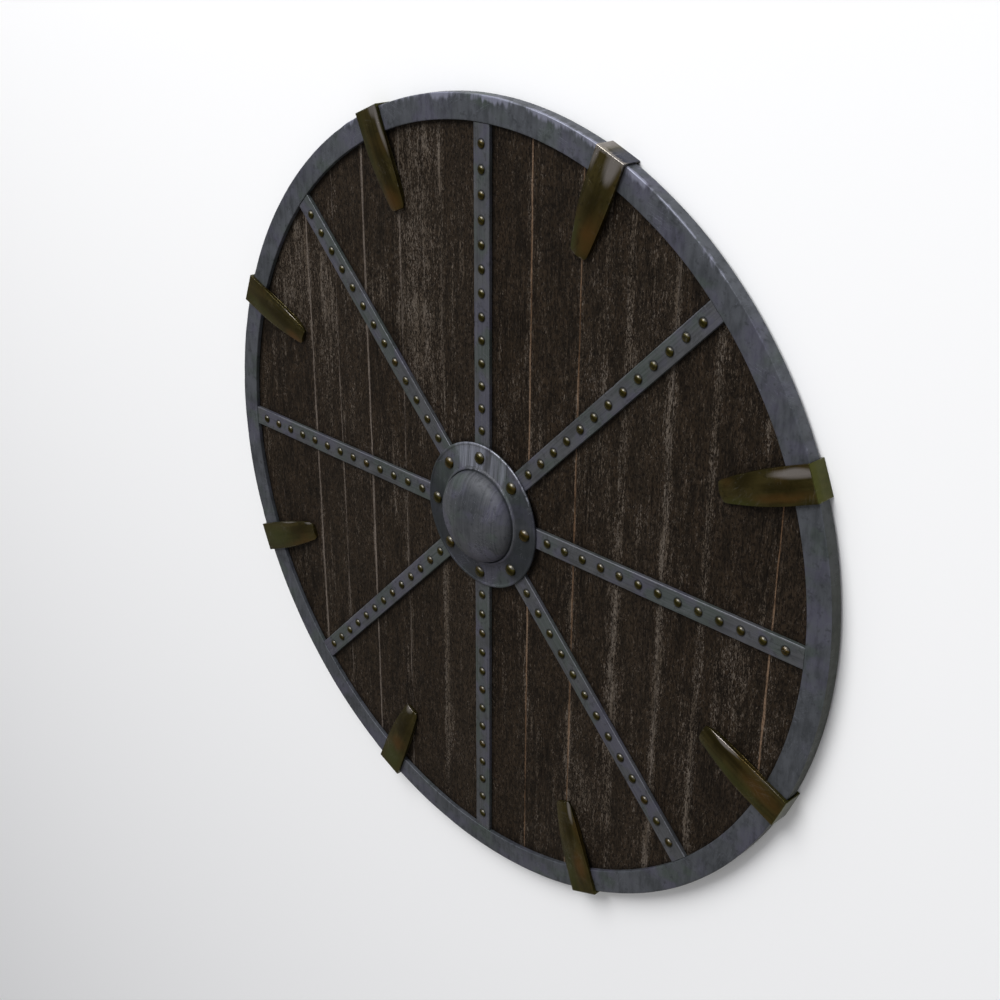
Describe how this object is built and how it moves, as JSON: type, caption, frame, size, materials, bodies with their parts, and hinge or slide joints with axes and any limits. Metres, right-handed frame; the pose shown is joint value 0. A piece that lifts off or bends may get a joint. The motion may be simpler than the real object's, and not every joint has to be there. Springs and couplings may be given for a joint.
{
  "type": "round shield",
  "caption": "Round plank shield with a steel channel rim, riveted radial straps, a low domed boss and brass rim clips, lying on its back.",
  "frame": {"origin": "under the middle of the boss, in the plane the shield rests on", "axes": "+Z the way the boss points, +Y the end of the shield that is carried upwards, along the planks"},
  "size_m": [0.85, 0.85, 0.0437],
  "materials": {
    "plank_wood": "weathered, dark",
    "rim_steel": "dark, worn bright at the edges",
    "strap_steel": "dark, brushed",
    "boss_steel": "dark, brushed",
    "rivet_brass": "aged",
    "clip_brass": "aged, olive and brown",
    "grip_iron": "forged, matt"
  },
  "bodies": {
    "root": {"plank_left_1": "plank_wood", "plank_right_1": "plank_wood", "plank_left_2": "plank_wood", "plank_right_2": "plank_wood", "plank_left_3": "plank_wood", "plank_right_3": "plank_wood", "plank_left_4": "plank_wood", "plank_right_4": "plank_wood", "plank_left_5": "plank_wood", "plank_right_5": "plank_wood", "plank_left_6": "plank_wood", "plank_right_6": "plank_wood", "plank_left_7": "plank_wood", "plank_right_7": "plank_wood", "rim": "rim_steel", "strap_1": "strap_steel", "strap_2": "strap_steel", "strap_3": "strap_steel", "strap_4": "strap_steel", "strap_5": "strap_steel", "strap_6": "strap_steel", "strap_7": "strap_steel", "strap_8": "strap_steel", "boss": "boss_steel", "boss_rivet_1": "rivet_brass", "boss_rivet_2": "rivet_brass", "boss_rivet_3": "rivet_brass", "boss_rivet_4": "rivet_brass", "boss_rivet_5": "rivet_brass", "boss_rivet_6": "rivet_brass", "boss_rivet_7": "rivet_brass", "boss_rivet_8": "rivet_brass", "clip_1": "clip_brass", "clip_2": "clip_brass", "clip_3": "clip_brass", "clip_4": "clip_brass", "clip_5": "clip_brass", "clip_6": "clip_brass", "clip_7": "clip_brass", "clip_8": "clip_brass", "grip": "grip_iron"}
  },
  "joints": []
}
